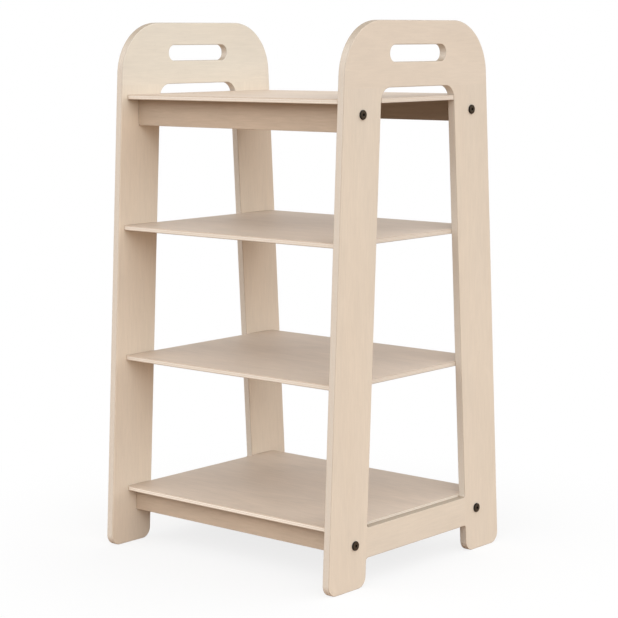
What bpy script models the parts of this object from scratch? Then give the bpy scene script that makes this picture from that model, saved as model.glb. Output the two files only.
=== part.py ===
# Mobile bookshelf: two A-shaped plywood side panels, four shelves and four aprons.
# X runs along the shelves, the front is towards -Y, and the feet stand on Z = 0.
# Eight black connector bolts go through the panels into barrel nuts in the apron ends.

import math
from collections import namedtuple

import bmesh
import bpy
from mathutils import Matrix, Vector
from mathutils.geometry import tessellate_polygon

# Overall size and the taper of the side panels: the depths are taken where the slanted
# edges meet the floor and the top line, before the corners are rounded
WIDTH = 0.560
BASE_DEPTH = 0.508
TOP_DEPTH = 0.402
PANEL_THICKNESS = 0.015
LEG_WIDTH = 0.102

# Heights of the shelves: the lowest underside, then the rise from each shelf to the next
BOTTOM_SHELF_HEIGHT = 0.1025
LOWER_BAY = 0.2555
MIDDLE_BAY = 0.250
UPPER_BAY = 0.2475
SHELF_THICKNESS = 0.009

# The band above the top shelf: a slit through the window, then the handle board
SLIT_HEIGHT = 0.018
HANDLE_BOARD_HEIGHT = 0.1175
SLOT_LENGTH = 0.162
SLOT_HEIGHT = 0.030
SLOT_DROP = 0.058

# The cut-out between the feet, and how far the rail over it stops below the shelf's top
ARCH_HEIGHT = 0.051
RAIL_STEP_DOWN = 0.005

# Corner radii of the panels
TOP_RADIUS = 0.100
FOOT_RADIUS = 0.020
ARCH_RADIUS = 0.006
WINDOW_RADIUS = 0.026
WINDOW_FOOT_RADIUS = 0.004
PANEL_EASE = 0.0016

# Shelves: how far their edges stand back from the edges of the panels
SHELF_SETBACK = 0.0118
TOP_SHELF_SETBACK = 0.0137
SHELF_CORNER_RADIUS = 0.004
SHELF_EASE = 0.0008

# Stub tenons on the ends of the three lower shelves, one in each leg
TENON_SHOULDER = 0.011
TENON_COVER = 0.008

# Aprons under the top and the bottom shelf: their height is the bolt's margin, the step
# from the bolt to the dowel and the dowel's margin, and the top front one is deeper
APRON_THICKNESS = 0.015
BOLT_MARGIN = 0.0183
DOWEL_STEP = 0.0132
DOWEL_MARGIN = 0.009
FRONT_APRON_EXTRA = 0.0095
APRON_EASE = 0.001
BOTTOM_APRON_SETBACK = 0.0285

# Connector bolts
BOLT_DIAMETER = 0.006
BOLT_LENGTH = 0.050
BOLT_TIP_CHAMFER = 0.0008
HEAD_DIAMETER = 0.017
HEAD_HEIGHT = 0.003
HEAD_ROUND = 0.0012
SOCKET_ACROSS_FLATS = 0.005
SOCKET_DEPTH = 0.0022

# Barrel nuts, the wood left at each end of them, and the driver slot in one end
NUT_DIAMETER = 0.010
NUT_COVER = 0.0015
BOLT_PAST_NUT = 0.0015
NUT_SLOT_WIDTH = 0.0012
NUT_SLOT_DEPTH = 0.001

# Wooden dowels, and the wood left between their bores and the panels' outer faces
DOWEL_DIAMETER = 0.006
DOWEL_COVER = 0.005
DOWEL_IN_APRON = 0.014
DOWEL_CHAMFER = 0.0006

# Clearance between pieces that meet, and how far the bores run on
GAP = 0.0003
BORE_RUN_OUT = 0.0025
CUT_OVERSHOOT = 0.002

# How finely the round shapes are cut
BOLT_SIDES = 24
BORE_SIDES = 16
EASE_STEPS = 2
BIG_ARC_STEPS = 18
ARC_STEPS = 6
TINY_ARC_STEPS = 3
SHARP_ANGLE = math.radians(40)

# Finishes: colour in linear light, roughness and metallic value
PANEL_FINISH = ((0.72, 0.61, 0.48), 0.55, 0.0)
SHELF_FINISH = ((0.70, 0.58, 0.45), 0.55, 0.0)
APRON_FINISH = ((0.66, 0.54, 0.41), 0.60, 0.0)
DOWEL_FINISH = ((0.62, 0.44, 0.28), 0.70, 0.0)
BOLT_FINISH = ((0.012, 0.012, 0.012), 0.35, 0.9)
NUT_FINISH = ((0.55, 0.56, 0.58), 0.35, 1.0)

# Sizes that follow from those above
THIRD_SHELF_HEIGHT = BOTTOM_SHELF_HEIGHT + LOWER_BAY
SECOND_SHELF_HEIGHT = THIRD_SHELF_HEIGHT + MIDDLE_BAY
TOP_SHELF_HEIGHT = SECOND_SHELF_HEIGHT + UPPER_BAY
RAIL_TOP = BOTTOM_SHELF_HEIGHT + SHELF_THICKNESS - RAIL_STEP_DOWN
WINDOW_TOP = TOP_SHELF_HEIGHT + SHELF_THICKNESS + SLIT_HEIGHT
HEIGHT = WINDOW_TOP + HANDLE_BOARD_HEIGHT
APRON_HEIGHT = BOLT_MARGIN + DOWEL_STEP + DOWEL_MARGIN
TOP_BOLT_HEIGHT = TOP_SHELF_HEIGHT - BOLT_MARGIN
TOP_DOWEL_HEIGHT = TOP_BOLT_HEIGHT - DOWEL_STEP
BOTTOM_DOWEL_HEIGHT = BOTTOM_SHELF_HEIGHT - DOWEL_MARGIN
BOTTOM_BOLT_HEIGHT = BOTTOM_DOWEL_HEIGHT - DOWEL_STEP
BORE_RADIUS = BOLT_DIAMETER / 2 + GAP
DOWEL_BORE_RADIUS = DOWEL_DIAMETER / 2 + GAP
INNER_FACE = WIDTH / 2 - PANEL_THICKNESS
BOARD_END = INNER_FACE - GAP
BOLT_SEAT = WIDTH / 2 + GAP
BOLT_TIP = BOLT_SEAT - BOLT_LENGTH
NUT_PLACE = BOLT_TIP + BOLT_PAST_NUT + NUT_DIAMETER / 2
NUT_LENGTH = APRON_THICKNESS - 2 * NUT_COVER
DOWEL_IN_PANEL = PANEL_THICKNESS - DOWEL_COVER - GAP
TENON_LENGTH = PANEL_THICKNESS - TENON_COVER - GAP


def half_depth(height):
    """Half the depth of a side panel at a height: it narrows evenly from floor to top."""
    return (BASE_DEPTH + (TOP_DEPTH - BASE_DEPTH) * height / HEIGHT) / 2


def half_window(height):
    """Half the opening between the two legs: the legs keep one width all the way up."""
    return half_depth(height) - LEG_WIDTH


# Depths that follow: the three lower shelves are cut alike, the top one is shorter
SHELF_HALF_DEPTH = half_depth(SECOND_SHELF_HEIGHT) - SHELF_SETBACK
TOP_SHELF_HALF_DEPTH = half_depth(TOP_SHELF_HEIGHT) - TOP_SHELF_SETBACK
TOP_APRON_REACH = half_depth(TOP_BOLT_HEIGHT) - LEG_WIDTH / 2
BOTTOM_APRON_REACH = SHELF_HALF_DEPTH - BOTTOM_APRON_SETBACK


def tenon_span(height):
    """Middle and half width of the tenon where a shelf end meets a leg: it keeps one
    shoulder to the window's edge and one to the shelf's front edge."""
    inner = half_window(height) + TENON_SHOULDER
    outer = SHELF_HALF_DEPTH - TENON_SHOULDER
    return (inner + outer) / 2, (outer - inner) / 2


def tongue_half_width():
    """Half the width that the window leaves to the top shelf at the shelf's top face,
    where the rounded corner of the window may already have begun."""
    height = TOP_SHELF_HEIGHT + SHELF_THICKNESS
    straight = half_window(height)
    arc_height = WINDOW_TOP - WINDOW_RADIUS
    rise = height - arc_height
    if rise <= 0.0:
        return straight - GAP
    lean = (BASE_DEPTH - TOP_DEPTH) / 2 / HEIGHT
    arc_centre = half_window(arc_height) - WINDOW_RADIUS * math.hypot(1.0, lean)
    return min(straight, arc_centre + math.sqrt(WINDOW_RADIUS ** 2 - rise ** 2)) - GAP


# The four aprons: where each one is, and the heights of its bolts and dowels
Apron = namedtuple("Apron", "label shelf_height height y bolt_height dowel_height")
APRONS = (
    Apron("top_front", TOP_SHELF_HEIGHT, APRON_HEIGHT + FRONT_APRON_EXTRA,
          -TOP_APRON_REACH, TOP_BOLT_HEIGHT, TOP_DOWEL_HEIGHT),
    Apron("top_rear", TOP_SHELF_HEIGHT, APRON_HEIGHT,
          TOP_APRON_REACH, TOP_BOLT_HEIGHT, TOP_DOWEL_HEIGHT),
    Apron("bottom_front", BOTTOM_SHELF_HEIGHT, APRON_HEIGHT,
          -BOTTOM_APRON_REACH, BOTTOM_BOLT_HEIGHT, BOTTOM_DOWEL_HEIGHT),
    Apron("bottom_rear", BOTTOM_SHELF_HEIGHT, APRON_HEIGHT,
          BOTTOM_APRON_REACH, BOTTOM_BOLT_HEIGHT, BOTTOM_DOWEL_HEIGHT),
)

# The three lower shelves, which have tenons in the legs
TENONED_SHELVES = (
    ("shelf_bottom", BOTTOM_SHELF_HEIGHT),
    ("shelf_third", THIRD_SHELF_HEIGHT),
    ("shelf_second", SECOND_SHELF_HEIGHT),
)


def clear_scene():
    """Empty the scene that the model is built in."""
    for thing in list(bpy.data.objects):
        bpy.data.objects.remove(thing, do_unlink=True)


def place(name, mesh, location, look, turned=False):
    """Put a mesh in the scene as a named piece with a material of its own, turned half
    round Z where asked. The look is a colour, a roughness and a metallic value."""
    if not mesh.materials:
        mesh.materials.append(None)
    piece = bpy.data.objects.new(name, mesh)
    bpy.context.scene.collection.objects.link(piece)
    piece.location = location
    piece.rotation_euler = (0.0, 0.0, math.pi if turned else 0.0)
    colour, roughness, metallic = look
    material = bpy.data.materials.new(name + "_finish")
    material.use_nodes = True
    shader = material.node_tree.nodes["Principled BSDF"]
    shader.inputs["Base Color"].default_value = (*colour, 1.0)
    shader.inputs["Roughness"].default_value = roughness
    shader.inputs["Metallic"].default_value = metallic
    piece.material_slots[0].link = "OBJECT"
    piece.material_slots[0].material = material
    return piece


def rounded_loop(corners):
    """Turn corners (u, v, radius, steps) into a closed loop with tangent arcs."""
    loop = []
    count = len(corners)
    for index, (u, v, radius, steps) in enumerate(corners):
        here = Vector((u, v))
        if radius == 0.0:
            loop.append(here)
            continue
        before = (Vector(corners[index - 1][:2]) - here).normalized()
        after = (Vector(corners[(index + 1) % count][:2]) - here).normalized()
        half_angle = before.angle(after) / 2
        centre = here + (before + after).normalized() * radius / math.sin(half_angle)
        start = here + before * radius / math.tan(half_angle) - centre
        end = here + after * radius / math.tan(half_angle) - centre
        sweep = -start.angle_signed(end)
        loop += [centre + Matrix.Rotation(sweep * step / steps, 2) @ start
                 for step in range(steps + 1)]
    return loop


def mirrored_loop(half):
    """Close half an outline of corners (u, v, radius, steps) with its mirror image."""
    return rounded_loop(half + [(-corner[0], *corner[1:]) for corner in reversed(half)])


def round_loop(u, v, radius):
    """A round hole's outline, clockwise."""
    angles = [-2 * math.pi * side / BORE_SIDES for side in range(BORE_SIDES)]
    return [Vector((u + radius * math.cos(a), v + radius * math.sin(a))) for a in angles]


def slot_loop(v, length, height):
    """A slot with half-round ends, clockwise, centred at u = 0."""
    radius = height / 2
    reach = length / 2 - radius
    loop = []
    for end in (1, -1):
        for step in range(2 * ARC_STEPS + 1):
            angle = math.pi * (end / 2 - step / (2 * ARC_STEPS))
            loop.append(Vector((end * reach + radius * math.cos(angle),
                                v + radius * math.sin(angle))))
    return loop


def box_loop(u, v, half_u, half_v):
    """A rectangular pocket's outline, clockwise."""
    signs = ((-1, -1), (-1, 1), (1, 1), (1, -1))
    return [Vector((u + su * half_u, v + sv * half_v)) for su, sv in signs]


def shifted(loop, inset):
    """Move a loop's edges to their left, which is into the material, by an inset."""
    moved = []
    for index, point in enumerate(loop):
        along_in = (point - loop[index - 1]).normalized()
        along_out = (loop[(index + 1) % len(loop)] - point).normalized()
        left_in = Vector((-along_in.y, along_in.x))
        left_out = Vector((-along_out.y, along_out.x))
        moved.append(point + (left_in + left_out) * inset / (1 + left_in.dot(left_out)))
    return moved


def ease_profile(ease):
    """Quarter round of an eased arris, as (inset, depth), from the flat face down."""
    angles = [math.pi / 2 * step / EASE_STEPS for step in range(EASE_STEPS + 1)]
    return [(ease * (1 - math.sin(a)), ease * (1 - math.cos(a))) for a in angles]


def skin(bm, rings):
    """Join closed rings of vertices into a smooth wall."""
    for low, high in zip(rings, rings[1:]):
        for index in range(len(low)):
            follow = (index + 1) % len(low)
            face = bm.faces.new((low[index], low[follow], high[follow], high[index]))
            face.smooth = True


def cap(bm, rings):
    """Close a flat face between its outline and the holes in it."""
    verts = [vert for ring in rings for vert in ring]
    for corner in tessellate_polygon([[vert.co for vert in ring] for ring in rings]):
        bm.faces.new([verts[index] for index in corner])


def finished_mesh(name, bm):
    """Turn a closed bmesh into a mesh with its faces out and its arrises sharp."""
    bmesh.ops.recalc_face_normals(bm, faces=bm.faces)
    mesh = bpy.data.meshes.new(name)
    bm.to_mesh(mesh)
    bm.free()
    mesh.set_sharp_from_angle(angle=SHARP_ANGLE)
    return mesh


def board_mesh(name, outline, thickness, ease, axes, windows=(), bores=(), pockets=()):
    """A board with eased arrises round its outline and windows, plain round bores right
    through it, and pockets (loop, depth) sunk in its first face. The axes turn its own
    (u, v, depth) into the piece's (x, y, z)."""
    bm = bmesh.new()

    def ring(loop, inset, depth):
        return [bm.verts.new(axes @ Vector((*point, depth))) for point in shifted(loop, inset)]

    rise = ease_profile(ease)
    eased = rise + [(inset, thickness - depth) for inset, depth in reversed(rise)]
    plain = [(0.0, 0.0), (0.0, thickness)]
    walls = [(outline, eased)]
    walls += [(window, eased) for window in windows]
    walls += [(bore, plain) for bore in bores]
    first_face = []
    last_face = []
    for loop, profile in walls:
        rings = [ring(loop, inset, depth) for inset, depth in profile]
        skin(bm, rings)
        first_face.append(rings[0])
        last_face.append(rings[-1])
    for loop, depth in pockets:
        rings = [ring(loop, 0.0, 0.0), ring(loop, 0.0, depth)]
        skin(bm, rings)
        cap(bm, rings[1:])
        first_face.append(rings[0])
    cap(bm, first_face)
    cap(bm, last_face)
    return finished_mesh(name, bm)


def turned_mesh(name, profile, sides):
    """A closed turned body round the X axis, from (radius, x) points tip to tip."""
    bm = bmesh.new()
    angles = [2 * math.pi * side / sides for side in range(sides)]
    rings = [[bm.verts.new((x, radius * math.cos(a), radius * math.sin(a))) for a in angles]
             for radius, x in profile]
    skin(bm, rings)
    bm.faces.new(rings[0])
    bm.faces.new(rings[-1])
    return finished_mesh(name, bm)


def add_rod(bm, start, end, radius, sides):
    """Add a closed round rod between two points."""
    low = Vector(start)
    high = Vector(end)
    turn = (high - low).to_track_quat("Z", "Y").to_matrix().to_4x4()
    bmesh.ops.create_cone(bm, cap_ends=True, segments=sides, radius1=radius,
                          radius2=radius, depth=(high - low).length,
                          matrix=Matrix.Translation((low + high) / 2) @ turn)


def subtract(target, name, bm):
    """Cut a piece with a hidden cutter, drawn in the piece's own frame."""
    mesh = bpy.data.meshes.new(name)
    bm.to_mesh(mesh)
    bm.free()
    cutter = bpy.data.objects.new(name, mesh)
    bpy.context.scene.collection.objects.link(cutter)
    cutter.location = target.location
    cutter.rotation_euler = target.rotation_euler
    cutter.display_type = "WIRE"
    cutter.hide_render = True
    cut = target.modifiers.new(name, "BOOLEAN")
    cut.operation = "DIFFERENCE"
    cut.solver = "EXACT"
    cut.object = cutter
    return cutter


def drilled_mesh(mesh, bm):
    """Subtract a cutter from a mesh for good, so that its copies can share the result."""
    blank = bpy.data.objects.new(mesh.name + "_blank", mesh)
    bpy.context.scene.collection.objects.link(blank)
    cutter = subtract(blank, mesh.name + "_cutter", bm)
    graph = bpy.context.evaluated_depsgraph_get()
    result = bpy.data.meshes.new_from_object(blank.evaluated_get(graph), depsgraph=graph)
    result.set_sharp_from_angle(angle=SHARP_ANGLE)
    bpy.data.objects.remove(blank, do_unlink=True)
    bpy.data.objects.remove(cutter, do_unlink=True)
    return result


def side_panel_outline():
    """The panel's edge in (Y, Z): slanted sides, round shoulders, and two feet."""
    return mirrored_loop([
        (half_window(ARCH_HEIGHT), ARCH_HEIGHT, ARCH_RADIUS, TINY_ARC_STEPS),
        (half_window(0.0), 0.0, FOOT_RADIUS, ARC_STEPS),
        (half_depth(0.0), 0.0, FOOT_RADIUS, ARC_STEPS),
        (half_depth(HEIGHT), HEIGHT, TOP_RADIUS, BIG_ARC_STEPS),
    ])


def side_panel_window():
    """The tall window between the two legs of a panel."""
    return mirrored_loop([
        (half_window(WINDOW_TOP), WINDOW_TOP, WINDOW_RADIUS, ARC_STEPS),
        (half_window(RAIL_TOP), RAIL_TOP, WINDOW_FOOT_RADIUS, TINY_ARC_STEPS),
    ])


def side_panel_mesh():
    """One plywood side panel, inner face first, with the handle slot, a bore for each
    bolt, and blind pockets for the dowels and the shelves' stub tenons."""
    slot = slot_loop(HEIGHT - SLOT_DROP, SLOT_LENGTH, SLOT_HEIGHT)
    bores = [round_loop(apron.y, apron.bolt_height, BORE_RADIUS) for apron in APRONS]
    pockets = [(round_loop(apron.y, apron.dowel_height, DOWEL_BORE_RADIUS),
                DOWEL_IN_PANEL + GAP) for apron in APRONS]
    for _, height in TENONED_SHELVES:
        middle, half = tenon_span(height)
        level = height + SHELF_THICKNESS / 2
        for side in (-1, 1):
            mortise = box_loop(side * middle, level, half + GAP, SHELF_THICKNESS / 2 + GAP)
            pockets.append((mortise, TENON_LENGTH + GAP))
    inner_face_first = Matrix(((0, 0, 1), (1, 0, 0), (0, 1, 0)))
    return board_mesh("side_panel", side_panel_outline(), PANEL_THICKNESS, PANEL_EASE,
                      inner_face_first, [side_panel_window(), slot], bores, pockets)


def build_panels():
    """Two side panels of one shape: the left one is the right one turned round."""
    mesh = side_panel_mesh()
    place("side_panel_right", mesh, (INNER_FACE, 0.0, 0.0), PANEL_FINISH)
    place("side_panel_left", mesh, (-INNER_FACE, 0.0, 0.0), PANEL_FINISH, turned=True)


def shelf_mesh(name, half_body, tongues, tongue_end):
    """A shelf board in (X, Y). Its ends butt against the panels' inner faces, and
    tongues (middle, half width) reach on past them."""
    right_end = [(BOARD_END, -half_body, SHELF_CORNER_RADIUS, TINY_ARC_STEPS)]
    for middle, half in tongues:
        right_end += [
            (BOARD_END, middle - half, 0.0, 0),
            (tongue_end, middle - half, 0.0, 0),
            (tongue_end, middle + half, 0.0, 0),
            (BOARD_END, middle + half, 0.0, 0),
        ]
    right_end.append((BOARD_END, half_body, SHELF_CORNER_RADIUS, TINY_ARC_STEPS))
    return board_mesh(name, mirrored_loop(right_end), SHELF_THICKNESS, SHELF_EASE,
                      Matrix.Identity(3))


def build_shelves():
    """The top shelf runs out through both windows, level with the panels' outer faces.
    The three lower shelves end at the panels, with a stub tenon in each leg."""
    top = shelf_mesh("shelf_top", TOP_SHELF_HALF_DEPTH, [(0.0, tongue_half_width())],
                     WIDTH / 2)
    place("shelf_top", top, (0.0, 0.0, TOP_SHELF_HEIGHT), SHELF_FINISH)
    for name, height in TENONED_SHELVES:
        middle, half = tenon_span(height)
        mesh = shelf_mesh(name, SHELF_HALF_DEPTH, [(-middle, half), (middle, half)],
                          INNER_FACE + TENON_LENGTH)
        place(name, mesh, (0.0, 0.0, height), SHELF_FINISH)


def build_apron(apron):
    """An apron board under a shelf. Each end has a bolt bore and a dowel bore, and the
    face that looks inwards has a blind bore for the barrel nut over each bolt bore."""
    rear = apron.y > 0
    signs = ((1, 1), (-1, 1), (-1, -1), (1, -1))
    half_height = (apron.height - GAP) / 2
    outline = [Vector((su * BOARD_END, sv * half_height - half_height - GAP))
               for su, sv in signs]
    inner_face_first = Matrix(((1, 0, 0), (0, 0, -1), (0, 1, 0)))
    mesh = board_mesh("apron_" + apron.label, outline, APRON_THICKNESS, APRON_EASE,
                      inner_face_first)
    mesh.transform(Matrix.Translation((0.0, APRON_THICKNESS / 2, 0.0)))
    board = place(mesh.name, mesh, (0.0, apron.y, apron.shelf_height), APRON_FINISH, rear)
    bolt_level = apron.bolt_height - apron.shelf_height
    dowel_level = apron.dowel_height - apron.shelf_height
    end_bores = bmesh.new()
    nut_bores = bmesh.new()
    for end in (-1, 1):
        outside = end * (BOARD_END + CUT_OVERSHOOT)
        bolt_bottom = end * (BOLT_TIP - BORE_RUN_OUT)
        dowel_bottom = end * (INNER_FACE - DOWEL_IN_APRON - GAP)
        nut = end * NUT_PLACE
        add_rod(end_bores, (outside, 0.0, bolt_level), (bolt_bottom, 0.0, bolt_level),
                BORE_RADIUS, BORE_SIDES)
        add_rod(end_bores, (outside, 0.0, dowel_level), (dowel_bottom, 0.0, dowel_level),
                DOWEL_BORE_RADIUS, BORE_SIDES)
        add_rod(nut_bores, (nut, APRON_THICKNESS / 2 + CUT_OVERSHOOT, bolt_level),
                (nut, -NUT_LENGTH / 2 - GAP, bolt_level), NUT_DIAMETER / 2 + GAP, BORE_SIDES)
    subtract(board, mesh.name + "_end_bores", end_bores)
    subtract(board, mesh.name + "_nut_bores", nut_bores)


def build_aprons():
    """A front and a rear apron under the top shelf, and the same under the bottom one."""
    for apron in APRONS:
        build_apron(apron)


def bolt_mesh():
    """A flat-headed connector bolt with a hexagon socket. Its head sits on X = 0."""
    head = HEAD_DIAMETER / 2
    shank = BOLT_DIAMETER / 2
    profile = [
        (shank - BOLT_TIP_CHAMFER, -BOLT_LENGTH),
        (shank, BOLT_TIP_CHAMFER - BOLT_LENGTH),
        (shank, 0.0),
        (head, 0.0),
    ]
    profile += [(head - inset, HEAD_HEIGHT - depth)
                for inset, depth in reversed(ease_profile(HEAD_ROUND))]
    blank = turned_mesh("connector_bolt", profile, BOLT_SIDES)
    socket = bmesh.new()
    across_corners = SOCKET_ACROSS_FLATS / math.cos(math.pi / 6)
    add_rod(socket, (HEAD_HEIGHT - SOCKET_DEPTH, 0.0, 0.0),
            (HEAD_HEIGHT + CUT_OVERSHOOT, 0.0, 0.0), across_corners / 2, 6)
    return drilled_mesh(blank, socket)


def barrel_nut_mesh():
    """A barrel nut along Y, with its bore along X and a driver slot in its +Y end."""
    radius = NUT_DIAMETER / 2
    blank = turned_mesh("barrel_nut", [(radius, -NUT_LENGTH / 2), (radius, NUT_LENGTH / 2)],
                        BORE_SIDES)
    blank.transform(Matrix.Rotation(math.pi / 2, 4, "Z"))
    cutter = bmesh.new()
    reach = radius + CUT_OVERSHOOT
    add_rod(cutter, (-reach, 0.0, 0.0), (reach, 0.0, 0.0), BORE_RADIUS, BORE_SIDES)
    slot = bmesh.ops.create_cube(cutter, size=1.0)["verts"]
    bmesh.ops.scale(cutter, vec=(2 * reach, 2 * NUT_SLOT_DEPTH, NUT_SLOT_WIDTH), verts=slot)
    bmesh.ops.translate(cutter, vec=(0.0, NUT_LENGTH / 2, 0.0), verts=slot)
    return drilled_mesh(blank, cutter)


def dowel_mesh():
    """A wooden peg along X with chamfered ends. The joint it pins is at X = 0."""
    radius = DOWEL_DIAMETER / 2
    return turned_mesh("apron_dowel", [
        (radius - DOWEL_CHAMFER, -DOWEL_IN_APRON),
        (radius, DOWEL_CHAMFER - DOWEL_IN_APRON),
        (radius, DOWEL_IN_PANEL - DOWEL_CHAMFER),
        (radius - DOWEL_CHAMFER, DOWEL_IN_PANEL),
    ], BORE_SIDES)


def build_fittings():
    """A bolt, its barrel nut and a dowel at each end of each apron."""
    bolt = bolt_mesh()
    nut = barrel_nut_mesh()
    dowel = dowel_mesh()
    for apron in APRONS:
        for side, end in (("right", 1), ("left", -1)):
            label = apron.label + "_" + side
            place("bolt_" + label, bolt, (end * BOLT_SEAT, apron.y, apron.bolt_height),
                  BOLT_FINISH, turned=end < 0)
            place("barrel_nut_" + label, nut, (end * NUT_PLACE, apron.y, apron.bolt_height),
                  NUT_FINISH, turned=apron.y > 0)
            place("apron_dowel_" + label, dowel, (end * INNER_FACE, apron.y, apron.dowel_height),
                  DOWEL_FINISH, turned=end < 0)


clear_scene()
build_panels()
build_shelves()
build_aprons()
build_fittings()
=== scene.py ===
import math

import bmesh
import bpy
import numpy as np
from mathutils import Matrix, Vector
from mathutils.geometry import tessellate_polygon


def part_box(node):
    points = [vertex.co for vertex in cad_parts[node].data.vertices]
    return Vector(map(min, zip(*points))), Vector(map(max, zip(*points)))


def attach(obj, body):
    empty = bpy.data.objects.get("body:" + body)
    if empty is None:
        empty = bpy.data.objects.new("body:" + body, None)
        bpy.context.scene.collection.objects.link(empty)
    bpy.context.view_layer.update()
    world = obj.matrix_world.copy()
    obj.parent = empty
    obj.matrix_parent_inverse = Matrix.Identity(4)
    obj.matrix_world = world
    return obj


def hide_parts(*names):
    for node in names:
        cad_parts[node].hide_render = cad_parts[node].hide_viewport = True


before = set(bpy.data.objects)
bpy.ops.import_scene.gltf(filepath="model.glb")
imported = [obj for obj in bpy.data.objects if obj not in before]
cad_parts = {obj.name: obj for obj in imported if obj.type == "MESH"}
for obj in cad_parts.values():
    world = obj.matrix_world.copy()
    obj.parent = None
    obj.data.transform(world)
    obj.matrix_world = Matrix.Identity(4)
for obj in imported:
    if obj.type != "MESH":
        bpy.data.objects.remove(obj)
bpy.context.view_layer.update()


# Side panels. Two sheets of 15 mm birch-faced plywood, routed to one shape: slanted sides,
# round shoulders, a slot to carry it by, a tall window and two feet. Every arris is rounded
# over, the faces have a clear matt lacquer, and four bolt holes go right through.

PANEL_THICKNESS = 0.015
PANEL_INNER_FACE = 0.265
PANEL_MIDDLE = 0.2725
PANEL_ROUND_OVER = 0.0016
PANEL_HEIGHT = 1.0
SHOULDER_RADIUS = 0.100
BASE_HALF_DEPTH = 0.254
SIDE_SLANT = 0.053
LEG_WIDTH = 0.102
FOOT_RADIUS = 0.020
ARCH_TOP = 0.051
ARCH_RADIUS = 0.006
RAIL_TOP = 0.1065
RAIL_RADIUS = 0.004
WINDOW_TOP = 0.8825
WINDOW_RADIUS = 0.026
SLOT_HALF_LENGTH = 0.081
SLOT_BOTTOM = 0.927
SLOT_TOP = 0.957
SLOT_RADIUS = 0.01499
BORE_RADIUS = 0.0033
BORE_SIDES = 32
BOLT_TO_DOWEL = 0.0132
DOWEL_BORE_DEPTH = 0.010
TENON_SHOULDER = 0.011
TENON_CLEARANCE = 0.0003
TENON_CORNER = 0.0008
MORTISE_DEPTH = 0.007
VENEER = 0.00075
PLY = 0.0015
GLUE_LINE = 0.10
# The first glue line is drawn wide, so that it also darkens the rounded arris: a real glue line,
# widened into painted shade that takes the light line off the arris.
FIRST_GLUE_LINE_AND_SHADE = 0.35
GLUE = (0.34, 0.25, 0.17)
PANEL_BIRCH = (0.672, 0.600, 0.503)
PANEL_PLIES = (0.588, 0.550, 0.490)
PANEL_FIGURE = 0.95
# Painted light: from 0.80 to 0.93 m up a panel's veneer turns towards its own tint, the colour of the
# light on its head board.
LIGHT_TINT_FROM = 0.80
LIGHT_TINT_FULL = 0.93
# Painted shade: cut ply edges that face up are darkened towards this tint, for the shade that lies on
# them.
UP_EDGE_SHADE_TINT = (0.69, 0.635, 0.570)
UP_EDGE_SHADE_FROM = 0.40
UP_EDGE_SHADE_FULL = 0.95
END_GRAIN = (0.610, 0.500, 0.395)


def panel_side(height):
    """Half the panel's depth: 254 mm at the floor, less 53 mm for each metre of height."""
    return BASE_HALF_DEPTH - SIDE_SLANT * height


def unit(vectors):
    """Each vector divided by its own length."""
    return vectors / np.linalg.norm(vectors, axis=-1, keepdims=True)


def fillet(corners, steps):
    """Closed outline from corners (u, v, radius). The arc at a corner is centred on the
    line that halves its angle, at radius / sin(half the angle), and its points turn evenly
    from where it touches one side to where it touches the other."""
    corners = np.array(corners, float)
    point, radius = corners[:, :2], corners[:, 2:]
    before = unit(np.roll(point, 1, axis=0) - point)
    after = unit(np.roll(point, -1, axis=0) - point)
    half = np.arccos(np.sum(before * after, axis=1, keepdims=True)) / 2
    centre = point + unit(before + after) * radius / np.sin(half)
    start = point + before * radius / np.tan(half) - centre
    end = point + after * radius / np.tan(half) - centre
    first = np.arctan2(start[:, 1:], start[:, :1])
    sweep = np.arctan2(end[:, 1:], end[:, :1]) - first
    sweep = (sweep + np.pi) % (2 * np.pi) - np.pi
    angle = first + sweep * np.linspace(0, 1, steps + 1)
    arc = np.stack([np.cos(angle), np.sin(angle)], axis=-1)
    return (centre[:, None] + radius[:, None] * arc).reshape(-1, 2)


def mirrored(half):
    """Corners (u, v, radius) of one half, then their mirror image in u = 0, reversed."""
    half = np.array(half, float)
    return np.concatenate([half, half[::-1] * (-1, 1, 1)])


def circle(u, v, radius, count):
    """Round hole, run clockwise: the angle falls evenly through a full turn."""
    angle = -2 * np.pi * np.arange(count) / count
    return np.stack([u + radius * np.cos(angle), v + radius * np.sin(angle)], axis=-1)


def round_over(thickness, radius, steps=6, strip=0.0004):
    """Edge profile (inset, depth) from one flat face to the other: a quarter round, the
    plain edge with a narrow strip kept flat at both ends of it, and a quarter round."""
    angle = np.linspace(0, np.pi / 2, steps + 1)
    quarter = np.stack([radius * (1 - np.sin(angle)), radius * (1 - np.cos(angle))], axis=-1)
    quarter = np.concatenate([quarter, [[0, radius + strip]]])
    return np.concatenate([quarter, (quarter * (1, -1) + (0, thickness))[::-1]])


def swept_edge(loop, profile):
    """Carry a profile (inset, depth) round a closed loop. A point moves to the left of the
    loop along its mitre, (n1 + n2) / (1 + n1.n2) for the two edge normals, times the inset."""
    ahead = unit(np.roll(loop, -1, axis=0) - loop)
    left = np.stack([-ahead[:, 1], ahead[:, 0]], axis=-1)
    other = np.roll(left, 1, axis=0)
    mitre = (left + other) / (1 + np.sum(left * other, axis=1, keepdims=True))
    flat = loop + profile[:, None, :1] * mitre
    depth = np.broadcast_to(profile[:, None, 1:], flat.shape[:2] + (1,))
    return np.concatenate([flat, depth], axis=-1)


def ring_quads(rings, count, start):
    """Indices of the quads that join each ring of a grid to the next, closed round."""
    low = np.arange(rings - 1)[:, None] * count + np.arange(count) + start
    side = np.roll(np.arange(count), -1) - np.arange(count)
    return np.stack([low, low + side, low + count + side, low + count], axis=-1).reshape(-1, 4)


def outward(mesh):
    """Turn every face of a closed mesh outwards."""
    skin = bmesh.new()
    skin.from_mesh(mesh)
    bmesh.ops.recalc_face_normals(skin, faces=skin.faces)
    skin.to_mesh(mesh)
    skin.free()


def added(name, data):
    """A new object in the scene, at the origin, with this mesh or camera."""
    made = bpy.data.objects.new(name, data)
    bpy.context.scene.collection.objects.link(made)
    return made


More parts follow.
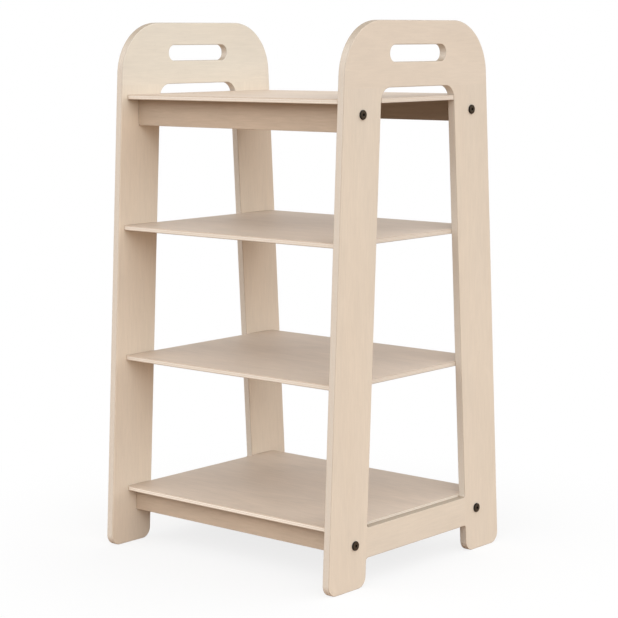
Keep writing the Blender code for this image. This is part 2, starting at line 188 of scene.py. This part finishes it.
def board(name, edges, pockets, place):
    """A flat board: edge surfaces (loop, profile) that run from face to face, blind pockets
    (loop, depth) in the first face, and both flat faces filled between the loops. place
    turns arrays of (u, v, depth) into x, y, z."""
    points, skins, caps, start = [], [], [], 0
    first, last = [], []
    for loop, profile in edges + [(loop, np.array([[0, 0], [0, depth]])) for loop, depth in pockets]:
        grid = swept_edge(loop, profile)
        count = len(loop)
        blind = len(last) >= len(edges)
        points.append(grid.reshape(-1, 3))
        skins.append(ring_quads(len(profile), count, start))
        first.append((grid[0], start))
        end = (grid[-1], start + (len(profile) - 1) * count)
        if blind:
            caps.append([end])
        else:
            last.append(end)
        start += grid.shape[0] * count
    caps += [first, last]
    faces = [quad for skin in skins for quad in skin.tolist()]
    smooth = len(faces)
    for rings in caps:
        index = np.concatenate([np.arange(len(ring)) + offset for ring, offset in rings])
        filled = tessellate_polygon([[Vector((*p[:2], 0)) for p in ring] for ring, _ in rings])
        faces += index[np.array(filled)].tolist()
    mesh = bpy.data.meshes.new(name)
    mesh.from_pydata(place(*np.concatenate(points).T).tolist(), [], faces)
    mesh.polygons.foreach_set("use_smooth", np.arange(len(faces)) < smooth)
    outward(mesh)
    return added(name, mesh)


def wire(tree, kind, settings=None, **inputs):
    """Add a node, set its properties, and set or link its inputs by name or number."""
    made = tree.nodes.new(kind)
    for key, value in (settings or {}).items():
        setattr(made, key, value)
    for key, value in inputs.items():
        socket = made.inputs[int(key[1:])] if key[0] == "i" and key[1:].isdigit() else made.inputs[key]
        if isinstance(value, bpy.types.NodeSocket):
            tree.links.new(value, socket)
        else:
            socket.default_value = value
    return made


def new_finish(name):
    """A new material, its node tree and its shader."""
    material = bpy.data.materials.new(name)
    material.use_nodes = True
    tree = material.node_tree
    return material, tree, tree.nodes["Principled BSDF"]


def calc(tree, operation, *values):
    """The output of a Math node."""
    inputs = {f"i{index}": value for index, value in enumerate(values)}
    return wire(tree, "ShaderNodeMath", {"operation": operation}, **inputs).outputs[0]


def blend(tree, amount, low, high, mode="MIX"):
    """The output of a colour Mix node."""
    made = wire(tree, "ShaderNodeMix", {"data_type": "RGBA", "blend_type": mode})
    for socket, value in zip((made.inputs[0], made.inputs[6], made.inputs[7]), (amount, low, high)):
        if isinstance(value, bpy.types.NodeSocket):
            tree.links.new(value, socket)
        else:
            socket.default_value = value if socket.type == "VALUE" else (*value, 1.0)
    return made.outputs[2]


def s_curve(tree, value, start, stop, low=0.0, high=1.0):
    """From low up to start, to high from stop on. Between them it rises by 3t^2 - 2t^3."""
    return wire(tree, "ShaderNodeMapRange", {"interpolation_type": "SMOOTHSTEP"},
                **{"Value": value, "From Min": start, "From Max": stop, "To Min": low,
                   "To Max": high}).outputs[0]


def grey(tree, value):
    """A colour with the same value in red, green and blue."""
    return wire(tree, "ShaderNodeCombineColor", Red=value, Green=value, Blue=value).outputs[0]


def stretched_noise(tree, across, along, through, scales, seed, detail=2.0, distortion=0.0):
    """Noise on board coordinates, each multiplied by its own scale: fibres run the way
    that has the smallest scale. The seed moves the pattern, so boards differ."""
    place = wire(tree, "ShaderNodeCombineXYZ",
                 X=calc(tree, "MULTIPLY_ADD", across, scales[0], seed),
                 Y=calc(tree, "MULTIPLY_ADD", along, scales[1], seed * 0.7),
                 Z=calc(tree, "MULTIPLY", through, scales[2]))
    return wire(tree, "ShaderNodeTexNoise", Vector=place.outputs[0], Scale=1.0,
                Detail=detail, Roughness=0.55, Distortion=distortion).outputs[0]


def plywood(name, through_axis, along_axis, middle, thickness, seed, face, plies, figured,
            level=None, high=None, up_edge_shade=None, shaded_face=1.0, arris_shade=0.24):
    """Birch plywood as a solid texture. The distance from the nearer face picks the ply:
    face veneer, then plies of 1.5 mm whose grain turns square to the last one, with thin
    glue lines. A ply that ends on the surface shows darker end grain. The veneer has soft
    clouds, faint rings, short darker dashes and fine fibres, all as strong as figured says,
    and its grain turns square to the rest where level is 1. It changes towards the tint
    high from 0.80 to 0.93 m up, a painted colour of the light on the head board. Where a
    rounded arris cuts the veneer it is darker, by arris_shade at most: painted shade that
    takes the light line off the arris. Cut edges that face up are darkened by the tint
    up_edge_shade, painted shade. A shelf's lower face and a rear apron's inner face are
    darker by shaded_face, painted shade that deepens the shade under and behind them."""
    material, tree, shader = new_finish(name)
    source = tree.nodes.new("ShaderNodeTexCoord")
    place = wire(tree, "ShaderNodeSeparateXYZ", Vector=source.outputs["Object"]).outputs
    facing = wire(tree, "ShaderNodeSeparateXYZ", Vector=source.outputs["Normal"]).outputs
    across_axis = 3 - through_axis - along_axis
    through, along, across = place[through_axis], place[along_axis], place[across_axis]
    offset = calc(tree, "ABSOLUTE", calc(tree, "SUBTRACT", calc(tree, "ABSOLUTE", through), middle))
    depth = calc(tree, "SUBTRACT", thickness / 2, offset)
    ply = calc(tree, "DIVIDE", calc(tree, "SUBTRACT", depth, VENEER), PLY)
    turned = calc(tree, "ADD", calc(tree, "FLOOR", ply), 1.0)
    if level:
        turn = level(tree, place)
        change = calc(tree, "MULTIPLY", turn, calc(tree, "SUBTRACT", across, along))
        along, across = calc(tree, "ADD", along, change), calc(tree, "SUBTRACT", across, change)
        turned = calc(tree, "ADD", turned, turn)
    turned = calc(tree, "PINGPONG", turned, 1.0)

    cloud = stretched_noise(tree, across, along, through, (17.0, 4.5, 17.0), seed + 9.0, 2.0, 0.8)
    figure = stretched_noise(tree, across, along, through, (8.0, 1.1, 8.0), seed, 1.5, 0.7)
    rings = calc(tree, "SINE", calc(tree, "MULTIPLY", figure, 55.0))
    tone = stretched_noise(tree, across, along, through, (6.0, 2.0, 6.0), seed + 21.0, 2.0)
    dash = stretched_noise(tree, across, along, through, (240.0, 24.0, 240.0), seed + 5.0, 1.0, 0.6)
    fibre = stretched_noise(tree, across, along, through, (560.0, 16.0, 560.0), seed + 3.0, 3.0)
    fleck = stretched_noise(tree, across, along, through, (1500.0, 85.0, 600.0), seed + 7.0, 1.0)
    fleck = calc(tree, "MULTIPLY", calc(tree, "MAXIMUM", calc(tree, "SUBTRACT", fleck, 0.66), 0.0), 5.0)
    light = calc(tree, "MULTIPLY_ADD", rings, 0.005 * figured, 1.0)
    for part, amount in ((cloud, 0.10), (dash, 0.11), (fibre, 0.07)):
        light = calc(tree, "MULTIPLY_ADD", calc(tree, "SUBTRACT", part, 0.5), amount * figured, light)
    light = calc(tree, "SUBTRACT", light, calc(tree, "MULTIPLY", fleck, 0.18))
    warm = tuple(c * k for c, k in zip(face, (1.015, 0.985, 0.955)))
    cool = tuple(c * k for c, k in zip(face, (0.99, 1.01, 1.03)))
    veneer = blend(tree, tone, warm, cool)
    # Painted light: the veneer turns towards the tint high further up.
    if high:
        light_tinted = blend(tree, 1.0, veneer, high, "MULTIPLY")
        veneer = blend(tree, s_curve(tree, place[2], LIGHT_TINT_FROM, LIGHT_TINT_FULL), veneer, light_tinted)
    # Painted shade: a shelf's lower face or a rear apron's inner face is darker, which deepens the
    # shade under and behind it.
    if shaded_face < 1.0:
        below = calc(tree, "LESS_THAN", through, middle)
        light = calc(tree, "MULTIPLY", light, calc(tree, "MULTIPLY_ADD", below, shaded_face - 1.0, 1.0))
    # Painted shade: the veneer is darker where a rounded arris cuts it, which takes the light line off
    # the arris.
    cut = calc(tree, "SUBTRACT", 1.0, calc(tree, "ABSOLUTE", facing[through_axis]))
    cut = calc(tree, "MINIMUM", calc(tree, "MULTIPLY", cut, 3.0), 1.0)
    light = calc(tree, "MULTIPLY", light, calc(tree, "MULTIPLY_ADD", cut, -arris_shade, 1.0))
    veneer = blend(tree, 1.0, veneer, grey(tree, light), "MULTIPLY")

    long_end = calc(tree, "ABSOLUTE", facing[along_axis])
    cross_end = calc(tree, "ABSOLUTE", facing[across_axis])
    ends = calc(tree, "ADD", calc(tree, "MULTIPLY", turned, cross_end),
                calc(tree, "MULTIPLY", calc(tree, "SUBTRACT", 1.0, turned), long_end))
    speck = wire(tree, "ShaderNodeTexNoise", Vector=source.outputs["Object"], Scale=900.0,
                 Detail=2.0).outputs[0]
    core = blend(tree, calc(tree, "MULTIPLY", ends, 0.55), plies, END_GRAIN)
    grainy = calc(tree, "MULTIPLY_ADD", calc(tree, "SUBTRACT", speck, 0.5), 0.22, 1.0)
    core = blend(tree, 1.0, core, grey(tree, grainy), "MULTIPLY")
    glue = calc(tree, "LESS_THAN", calc(tree, "FRACT", ply), GLUE_LINE)
    # The wide first glue line is partly painted shade on the arris.
    glue = calc(tree, "MAXIMUM", glue, calc(tree, "LESS_THAN", ply, FIRST_GLUE_LINE_AND_SHADE))
    core = blend(tree, calc(tree, "MULTIPLY", glue, 0.50), core, GLUE)
    inside = calc(tree, "GREATER_THAN", ply, 0.0)
    colour = blend(tree, inside, veneer, core)
    # Painted shade on the cut edges that face up.
    if up_edge_shade:
        shaded_edge = blend(tree, 1.0, colour, up_edge_shade, "MULTIPLY")
        upward = s_curve(tree, facing[2], UP_EDGE_SHADE_FROM, UP_EDGE_SHADE_FULL)
        colour = blend(tree, upward, colour, shaded_edge)
    tree.links.new(colour, shader.inputs["Base Color"])
    sheen = calc(tree, "MULTIPLY_ADD", dash, 0.16, 0.48)
    tree.links.new(sheen, shader.inputs["Roughness"])
    shader.inputs["Specular IOR Level"].default_value = 0.28
    relief = calc(tree, "SUBTRACT", fibre, calc(tree, "MULTIPLY", fleck, 0.8))
    bump = wire(tree, "ShaderNodeBump", Height=relief, Strength=0.18, Distance=0.0002)
    tree.links.new(bump.outputs[0], shader.inputs["Normal"])
    return material


def head_and_rail(tree, place):
    """1 on the head board and on the rail between the feet, whose veneer runs level, and 0
    on the two legs, whose veneer runs upright. The rail ends 1 mm inside the window's sides."""
    head = calc(tree, "GREATER_THAN", place[2], WINDOW_TOP)
    leg = calc(tree, "MULTIPLY_ADD", place[2], -SIDE_SLANT, BASE_HALF_DEPTH - 0.001 - LEG_WIDTH)
    between = calc(tree, "LESS_THAN", calc(tree, "ABSOLUTE", place[1]), leg)
    return calc(tree, "MAXIMUM", head, between)


panel_outline = fillet(mirrored([
    (panel_side(ARCH_TOP) - LEG_WIDTH, ARCH_TOP, ARCH_RADIUS),
    (panel_side(0.0) - LEG_WIDTH, 0.0, FOOT_RADIUS),
    (panel_side(0.0), 0.0, FOOT_RADIUS),
    (panel_side(PANEL_HEIGHT), PANEL_HEIGHT, SHOULDER_RADIUS),
]), 24)
panel_window = fillet(mirrored([
    (panel_side(WINDOW_TOP) - LEG_WIDTH, WINDOW_TOP, WINDOW_RADIUS),
    (panel_side(RAIL_TOP) - LEG_WIDTH, RAIL_TOP, RAIL_RADIUS),
]), 16)
panel_slot = fillet(mirrored([
    (SLOT_HALF_LENGTH, SLOT_TOP, SLOT_RADIUS),
    (SLOT_HALF_LENGTH, SLOT_BOTTOM, SLOT_RADIUS),
]), 16)
panel_arris = round_over(PANEL_THICKNESS, PANEL_ROUND_OVER)
plain_bore = np.array([[0, 0], [0, PANEL_THICKNESS]])
bolt_places = []
dowel_places = []
for row, step in (("top_front", -BOLT_TO_DOWEL), ("top_rear", -BOLT_TO_DOWEL),
                  ("bottom_front", BOLT_TO_DOWEL), ("bottom_rear", BOLT_TO_DOWEL)):
    low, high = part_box("bolt_" + row + "_right")
    bolt_y, bolt_z = (low.y + high.y) / 2, (low.z + high.z) / 2
    bolt_places.append((row, bolt_y, bolt_z))
    dowel_places.append((bolt_y, bolt_z + step))
panel_bores = [(circle(y, z, BORE_RADIUS, BORE_SIDES), plain_bore) for _, y, z in bolt_places]
panel_pockets = [(circle(y, z, BORE_RADIUS, BORE_SIDES), DOWEL_BORE_DEPTH)
                 for y, z in dowel_places]
for shelf in ("shelf_bottom", "shelf_third", "shelf_second"):
    low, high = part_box(shelf)
    inner = panel_side(low.z) - LEG_WIDTH + TENON_SHOULDER
    outer = high.y - TENON_SHOULDER
    half_v = (high.z - low.z) / 2 + TENON_CLEARANCE
    half_u = (outer - inner) / 2 + TENON_CLEARANCE
    for side in (-1, 1):
        v, u = (low.z + high.z) / 2, side * (inner + outer) / 2
        corners = [(u - half_u, v - half_v, TENON_CORNER), (u - half_u, v + half_v, TENON_CORNER),
                   (u + half_u, v + half_v, TENON_CORNER), (u + half_u, v - half_v, TENON_CORNER)]
        panel_pockets.append((fillet(corners, 4), MORTISE_DEPTH))
# Painted light: the left panel is drawn lighter and warmer than the right, for the warm light bounced
# onto its inner face, and its head board cooler, for the paler light there.
for name, side, seed, tone, high in (
        ("side_panel_right", 1, 2.3, (1.0, 1.0, 1.0), (1.0, 1.0, 1.01)),
        ("side_panel_left", -1, 17.9, (1.155, 1.130, 1.110), (0.885, 0.950, 1.010))):
    panel = board(name + "_board", [(panel_outline, panel_arris), (panel_window, panel_arris),
                                    (panel_slot, panel_arris)] + panel_bores, panel_pockets,
                  lambda u, v, depth: np.stack([side * (PANEL_INNER_FACE + depth), u, v], axis=-1))
    face = tuple(value * share for value, share in zip(PANEL_BIRCH, tone))
    panel.data.materials.append(plywood(name + "_birch", 0, 2, PANEL_MIDDLE, PANEL_THICKNESS,
                                        seed, face, PANEL_PLIES, PANEL_FIGURE, head_and_rail,
                                        high, UP_EDGE_SHADE_TINT))
    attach(panel, "root")
    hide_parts(name)


# Shelves. Four boards of 9 mm birch plywood with the grain along them. The top one is
# shallower, and its ends run out through both windows to the panels' outer faces. The other
# three end at the panels and stand on stub tenons let into the legs.

SHELF_THICKNESS = 0.009
SHELF_END = 0.2647
SHELF_ROUND_OVER = 0.0008
SHELF_CORNER = 0.004
TENON_ROOT = 0.0005
TOP_TENON_HALF = 0.1050
SHELF_FIGURE = 2.0
# The shelves' veneer is darker than the panels': partly its own tone, partly painted shade for the
# little light that falls on their upper faces.
SHADED_SHELF_BIRCH = (0.570, 0.469, 0.379)
# Painted highlight: the shelves' ply edges are drawn lighter, for the light their front edges catch.
LIT_SHELF_PLIES = (0.750, 0.700, 0.625)
shelf_arris = round_over(SHELF_THICKNESS, SHELF_ROUND_OVER, steps=4, strip=0.0003)
for name, seed, tone in (("shelf_top", 31.0, 0.98), ("shelf_second", 47.0, 0.96),
                         ("shelf_third", 58.0, 0.97), ("shelf_bottom", 66.0, 1.10)):
    low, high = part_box(name)
    if name == "shelf_top":
        tenons = [(-TOP_TENON_HALF, TOP_TENON_HALF)]
    else:
        inner = panel_side(low.z) - LEG_WIDTH + TENON_SHOULDER
        outer = high.y - TENON_SHOULDER
        tenons = [(-outer, -inner), (inner, outer)]
    end = [(SHELF_END, low.y, SHELF_CORNER)]
    for start, stop in tenons:
        end += [(SHELF_END, start, TENON_ROOT), (high.x, start, TENON_CORNER),
                (high.x, stop, TENON_CORNER), (SHELF_END, stop, TENON_ROOT)]
    end.append((SHELF_END, high.y, SHELF_CORNER))
    shelf = board(name + "_board", [(fillet(mirrored(end), 6), shelf_arris)], [],
                  lambda u, v, depth: np.stack([u, v, low.z + depth], axis=-1))
    # Each shelf's tone scales the painted highlight on its ply edges.
    plies = tuple(value * tone for value in LIT_SHELF_PLIES)
    # Painted shade: the shelf's lower face is darker, by 0.6.
    shelf.data.materials.append(plywood(name + "_birch", 2, 0, (low.z + high.z) / 2,
                                        SHELF_THICKNESS, seed, SHADED_SHELF_BIRCH, plies,
                                        SHELF_FIGURE, shaded_face=0.6, arris_shade=0.08))
    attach(shelf, "root")
    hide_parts(name)


# Aprons. Four boards of 15 mm plywood on edge, two under the top shelf and two under the
# bottom one, which stop the panels from racking. Their ends are bored for a bolt and a
# dowel, and their inner faces for the barrel nuts.

# Painted shade: the aprons' birch is drawn darker than the panels', for the shade under the shelves
# that they stand in.
SHADED_APRON_BIRCH = (0.465, 0.372, 0.285)
SHADED_APRON_PLIES = (0.490, 0.405, 0.320)
APRON_FIGURE = 2.0
APRON_THICKNESS = 0.015
APRON_ROUND_OVER = 0.0013
LONG_EDGE = 0.4


def eased(name, node, radius):
    """A copy of a board with its long arrises rounded. Its loose triangles are merged and
    flat ones joined, then each sharp edge over 400 mm is cut back in five steps."""
    skin = bmesh.new()
    skin.from_mesh(node.data)
    bmesh.ops.remove_doubles(skin, verts=skin.verts, dist=1e-6)
    bmesh.ops.dissolve_limit(skin, angle_limit=0.02, verts=skin.verts, edges=skin.edges)
    arrises = [edge for edge in skin.edges
               if edge.calc_length() > LONG_EDGE and edge.calc_face_angle(0.0) > 1.0]
    made = bmesh.ops.bevel(skin, geom=arrises, offset=radius, offset_type="OFFSET", segments=5,
                           profile=0.5, affect="EDGES")
    for face in made["faces"]:
        face.smooth = True
    bmesh.ops.recalc_face_normals(skin, faces=skin.faces)
    mesh = bpy.data.meshes.new(name)
    skin.to_mesh(mesh)
    skin.free()
    return added(name, mesh)


# Painted shade: the rear aprons are darker by their tone, and on their inner faces by the last number,
# for the deep shade they stand in.
for number, (name, tone, inner) in enumerate((
        ("apron_top_front", 1.0, 1.0), ("apron_top_rear", 0.88, 0.78),
        ("apron_bottom_front", 1.02, 1.0), ("apron_bottom_rear", 0.95, 0.9))):
    low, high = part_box(name)
    apron = eased(name + "_board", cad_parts[name], APRON_ROUND_OVER)
    face, plies = (tuple(v * tone for v in colour) for colour in (SHADED_APRON_BIRCH, SHADED_APRON_PLIES))
    apron.data.materials.append(plywood(name + "_birch", 1, 0, abs(low.y + high.y) / 2,
                                        APRON_THICKNESS, 80.0 + 7 * number, face, plies,
                                        APRON_FIGURE, shaded_face=inner))
    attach(apron, "root")
    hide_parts(name)


# Connector bolts. Flat-headed steel bolts with a hexagon socket and a black coating, 17 mm
# over the head and 6 mm in the shank. They go through the panels into the barrel nuts.

BOLT_SEAT = 0.2803
SHANK_LENGTH = 0.0500
SHANK_RADIUS = 0.0030
TIP_RADIUS = 0.0022
TIP_CHAMFER = 0.0008
HEAD_RADIUS = 0.0085
HEAD_HEIGHT = 0.0030
HEAD_ROUND = 0.0012
SOCKET_FLOOR = 0.0008
BOLT_FLAT_FROM = 0.2825
BOLT_BLACK = (0.010, 0.008, 0.006)
BOLT_BRONZE = (0.066, 0.050, 0.032)
SOCKET_ACROSS_FLATS = 0.005
SHARP_ANGLE = math.radians(35)


def black_steel():
    """Black coating on steel: nearly black on the rim and in the socket, a dark bronze on
    the flat of the head, with a fine mottle in its colour and gloss."""
    material, tree, shader = new_finish("bolt_black")
    source = tree.nodes.new("ShaderNodeTexCoord")
    mottle = wire(tree, "ShaderNodeTexNoise", Vector=source.outputs["Object"], Scale=700.0,
                  Detail=3.0).outputs[0]
    facing = wire(tree, "ShaderNodeSeparateXYZ", Vector=source.outputs["Normal"]).outputs[0]
    outside = wire(tree, "ShaderNodeSeparateXYZ", Vector=source.outputs["Object"]).outputs[0]
    flat = calc(tree, "GREATER_THAN", calc(tree, "ABSOLUTE", facing), 0.93)
    head = calc(tree, "GREATER_THAN", calc(tree, "ABSOLUTE", outside), BOLT_FLAT_FROM)
    bronze_flat = calc(tree, "MULTIPLY", calc(tree, "MULTIPLY", flat, head),
                calc(tree, "MULTIPLY_ADD", mottle, 0.8, 0.5))
    tree.links.new(blend(tree, bronze_flat, BOLT_BLACK, BOLT_BRONZE), shader.inputs["Base Color"])
    tree.links.new(calc(tree, "MULTIPLY_ADD", mottle, 0.22, 0.34), shader.inputs["Roughness"])
    shader.inputs["Metallic"].default_value = 0.6
    bump = wire(tree, "ShaderNodeBump", Height=mottle, Strength=0.15, Distance=0.0001)
    tree.links.new(bump.outputs[0], shader.inputs["Normal"])
    return material


def turned(name, radius, height, share, across_flats, place, count=72):
    """A bolt as one grid: ring k has its own radius and height along the axis, and its
    outline is mixed from a circle to a hexagon by its share. A hexagon's radius at an angle
    is half its width over the cosine of the angle from the middle of the nearest side."""
    angle = 2 * np.pi * np.arange(count) / count
    off = (angle + np.pi / 6) % (np.pi / 3) - np.pi / 6
    hexagon = across_flats / 2 / np.cos(off)
    radius, height, share = (np.array(v)[:, None] for v in (radius, height, share))
    reach = radius * (1 - share) + hexagon * share * np.minimum(radius / (across_flats / 2), 1)
    grid = np.stack([height + 0 * reach, reach * np.cos(angle), reach * np.sin(angle)], axis=-1)
    rings = len(radius)
    faces = ring_quads(rings, count, 0).tolist()
    faces += [list(range(count)), list(range((rings - 1) * count, rings * count))]
    mesh = bpy.data.meshes.new(name)
    mesh.from_pydata(place(grid.reshape(-1, 3)).tolist(), [], faces)
    outward(mesh)
    mesh.shade_smooth()
    mesh.set_sharp_from_angle(angle=SHARP_ANGLE)
    return added(name, mesh)


bolt_finish = black_steel()
rim = np.linspace(0, np.pi / 2, 7)
bolt_radius = np.concatenate([[TIP_RADIUS, SHANK_RADIUS, SHANK_RADIUS, HEAD_RADIUS],
                              HEAD_RADIUS - HEAD_ROUND * (1 - np.cos(rim)),
                              [0.0040, 0.0031, 0.0025, 0.0025, 0.0012]])
bolt_height = np.concatenate([[-SHANK_LENGTH, TIP_CHAMFER - SHANK_LENGTH, 0.0, 0.0],
                              HEAD_HEIGHT - HEAD_ROUND + HEAD_ROUND * np.sin(rim),
                              [HEAD_HEIGHT, HEAD_HEIGHT, 0.0028, SOCKET_FLOOR, 0.0004]])
bolt_share = np.concatenate([np.zeros(11), [0.0, 0.0, 1.0, 1.0, 0.0]])
for row, y, z in bolt_places:
    for side_name, side in (("right", 1), ("left", -1)):
        name = "bolt_" + row + "_" + side_name
        bolt = turned(name + "_turned", bolt_radius, bolt_height, bolt_share,
                      SOCKET_ACROSS_FLATS, lambda p: p * (side, 1, 1) + (side * BOLT_SEAT, y, z))
        bolt.data.materials.append(bolt_finish)
        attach(bolt, "root")
        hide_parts(name)


# Barrel nuts and dowels. The zinc-plated nuts lie in blind bores in the aprons' inner faces,
# with a screwdriver slot that lines their thread up with the bolt. The beech dowels are
# inside the joints, glued beside each bolt.

DULL_ZINC = (0.48, 0.49, 0.50)
BRIGHT_ZINC = (0.66, 0.67, 0.66)
BEECH_RAY = (0.50, 0.33, 0.20)
BEECH = (0.70, 0.52, 0.35)


def plated_steel():
    """Bright zinc: a pale grey metal with a fine uneven gloss."""
    material, tree, shader = new_finish("nut_zinc")
    source = tree.nodes.new("ShaderNodeTexCoord").outputs["Object"]
    cloud = wire(tree, "ShaderNodeTexNoise", Vector=source, Scale=400.0, Detail=4.0).outputs[0]
    tree.links.new(blend(tree, cloud, DULL_ZINC, BRIGHT_ZINC), shader.inputs["Base Color"])
    tree.links.new(calc(tree, "MULTIPLY_ADD", cloud, 0.25, 0.22), shader.inputs["Roughness"])
    shader.inputs["Metallic"].default_value = 1.0
    return material


def beech():
    """Raw beech: a warm light brown with short darker rays along the peg."""
    material, tree, shader = new_finish("dowel_beech")
    source = tree.nodes.new("ShaderNodeTexCoord").outputs["Object"]
    x, y, z = wire(tree, "ShaderNodeSeparateXYZ", Vector=source).outputs
    ray = stretched_noise(tree, y, x, z, (1400.0, 260.0, 1400.0), 4.0, 2.0)
    tree.links.new(blend(tree, ray, BEECH_RAY, BEECH), shader.inputs["Base Color"])
    tree.links.new(calc(tree, "MULTIPLY_ADD", ray, 0.2, 0.6), shader.inputs["Roughness"])
    return material


nut_finish = plated_steel()
dowel_finish = beech()
for row, y, z in bolt_places:
    for side_name in ("right", "left"):
        for kind, finish in (("barrel_nut_", nut_finish), ("apron_dowel_", dowel_finish)):
            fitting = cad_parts[kind + row + "_" + side_name]
            fitting.data.materials.clear()
            fitting.data.materials.append(finish)


# Floor. A plain white studio floor with the soft shadow of the shelf unit on it. It is plain
# white further out, so that no horizon shows, and it throws only a little light back up.

FLOOR_REACH = 9
SHADOW_TO = 0.35
WHITE_FROM = 0.95
LEAST_WHITE = 0.80
WHITE = (1.0, 1.0, 1.0, 1.0)

floor_mesh = bpy.data.meshes.new("studio_floor")
floor_mesh.from_pydata([(-FLOOR_REACH, -FLOOR_REACH, 0), (FLOOR_REACH, -FLOOR_REACH, 0),
                        (FLOOR_REACH, FLOOR_REACH, 0), (-FLOOR_REACH, FLOOR_REACH, 0)],
                       [], [(0, 1, 2, 3)])
floor = added("studio_floor", floor_mesh)
floor_paint = bpy.data.materials.new("studio_floor")
floor_paint.use_nodes = True
tree = floor_paint.node_tree
tree.nodes.clear()
source = tree.nodes.new("ShaderNodeTexCoord")
distance = wire(tree, "ShaderNodeVectorMath", {"operation": "LENGTH"}, i0=source.outputs["Object"])
far = s_curve(tree, distance.outputs["Value"], SHADOW_TO, WHITE_FROM, LEAST_WHITE)
paths = tree.nodes.new("ShaderNodeLightPath")
white = wire(tree, "ShaderNodeEmission", Color=WHITE, Strength=1.0)
pale = wire(tree, "ShaderNodeBsdfDiffuse", Color=(0.80, 0.80, 0.80, 1.0))
dull = wire(tree, "ShaderNodeBsdfDiffuse", Color=(0.52, 0.38, 0.29, 1.0))
seen = wire(tree, "ShaderNodeMixShader", i0=far, i1=pale.outputs[0], i2=white.outputs[0])
mixed = wire(tree, "ShaderNodeMixShader", i0=paths.outputs["Is Camera Ray"], i1=dull.outputs[0],
             i2=seen.outputs[0])
wire(tree, "ShaderNodeOutputMaterial", Surface=mixed.outputs[0])
floor_mesh.materials.append(floor_paint)


# Studio light. A large white tent all round and above, with no lamp in it. The camera sees it
# plain white. It lights the piece from the front, the right and behind, each from a little
# above the floor and up, and low down from the left.

LIGHT_ALL_ROUND = 0.10
LIGHT_RIGHT = 1.82
LIGHT_FRONT = 2.60
LIGHT_BEHIND = 1.30
LIGHT_LEFT = 1.60
LIGHT_FULL_FROM = 0.35

world = bpy.data.worlds.new("studio")
bpy.context.scene.world = world
world.use_nodes = True
tree = world.node_tree
tree.nodes.clear()
paths = tree.nodes.new("ShaderNodeLightPath")
way = tree.nodes.new("ShaderNodeTexCoord").outputs["Generated"]
x, y, z = wire(tree, "ShaderNodeSeparateXYZ", Vector=way).outputs
rise = s_curve(tree, z, 0.0, LIGHT_FULL_FROM)
glow = LIGHT_ALL_ROUND
for part, amount in ((x, LIGHT_RIGHT), (calc(tree, "MULTIPLY", y, -1.0), LIGHT_FRONT),
                     (y, LIGHT_BEHIND)):
    part = calc(tree, "MULTIPLY", calc(tree, "MAXIMUM", part, 0.0), rise)
    glow = calc(tree, "MULTIPLY_ADD", part, amount, glow)
low = calc(tree, "POWER", calc(tree, "SUBTRACT", 1.0, calc(tree, "ABSOLUTE", z)), 3.0)
left = calc(tree, "MAXIMUM", calc(tree, "MULTIPLY", x, -1.0), 0.0)
glow = calc(tree, "MULTIPLY_ADD", calc(tree, "MULTIPLY", left, low), LIGHT_LEFT, glow)
glow = calc(tree, "MULTIPLY", glow, calc(tree, "GREATER_THAN", z, 0.0))
tent = wire(tree, "ShaderNodeBackground", Color=WHITE, Strength=glow)
white = wire(tree, "ShaderNodeBackground", Color=WHITE, Strength=1.0)
mixed = wire(tree, "ShaderNodeMixShader", i0=paths.outputs["Is Camera Ray"], i1=tent.outputs[0],
             i2=white.outputs[0])
wire(tree, "ShaderNodeOutputWorld", Surface=mixed.outputs[0])


# Camera. A long lens, 41 degrees to the right of the front and 3.6 m away, that looks down
# by 7 degrees. The frame is shifted down a little, which moves the shelf unit up in it.

AZIMUTH = math.radians(40.868)
ELEVATION = math.radians(6.922)
ROLL = math.radians(-0.284)
CAMERA_PLACE = (2.3732, -2.7241, 0.9685)
FOCAL_PIXELS = 1915.31
FRAME_PIXELS = 618
SENSOR_WIDTH = 36
FRAME_SHIFT = (0.0021, -0.0616)

toward = Vector((math.sin(AZIMUTH) * math.cos(ELEVATION), -math.cos(AZIMUTH) * math.cos(ELEVATION),
                 math.sin(ELEVATION)))
right = (-toward).cross(Vector((0, 0, 1))).normalized()
up = right.cross(-toward)
turn = Matrix.Rotation(ROLL, 3, toward)
right, up = turn @ right, turn @ up
view = bpy.data.cameras.new("view")
view.lens = FOCAL_PIXELS / FRAME_PIXELS * SENSOR_WIDTH
view.sensor_width = SENSOR_WIDTH
view.shift_x, view.shift_y = FRAME_SHIFT
camera = added("view", view)
camera.matrix_world = Matrix.Translation(CAMERA_PLACE) @ Matrix(
    (right, up, toward)).transposed().to_4x4()
bpy.context.scene.camera = camera
bpy.context.scene.view_settings.view_transform = "Standard"
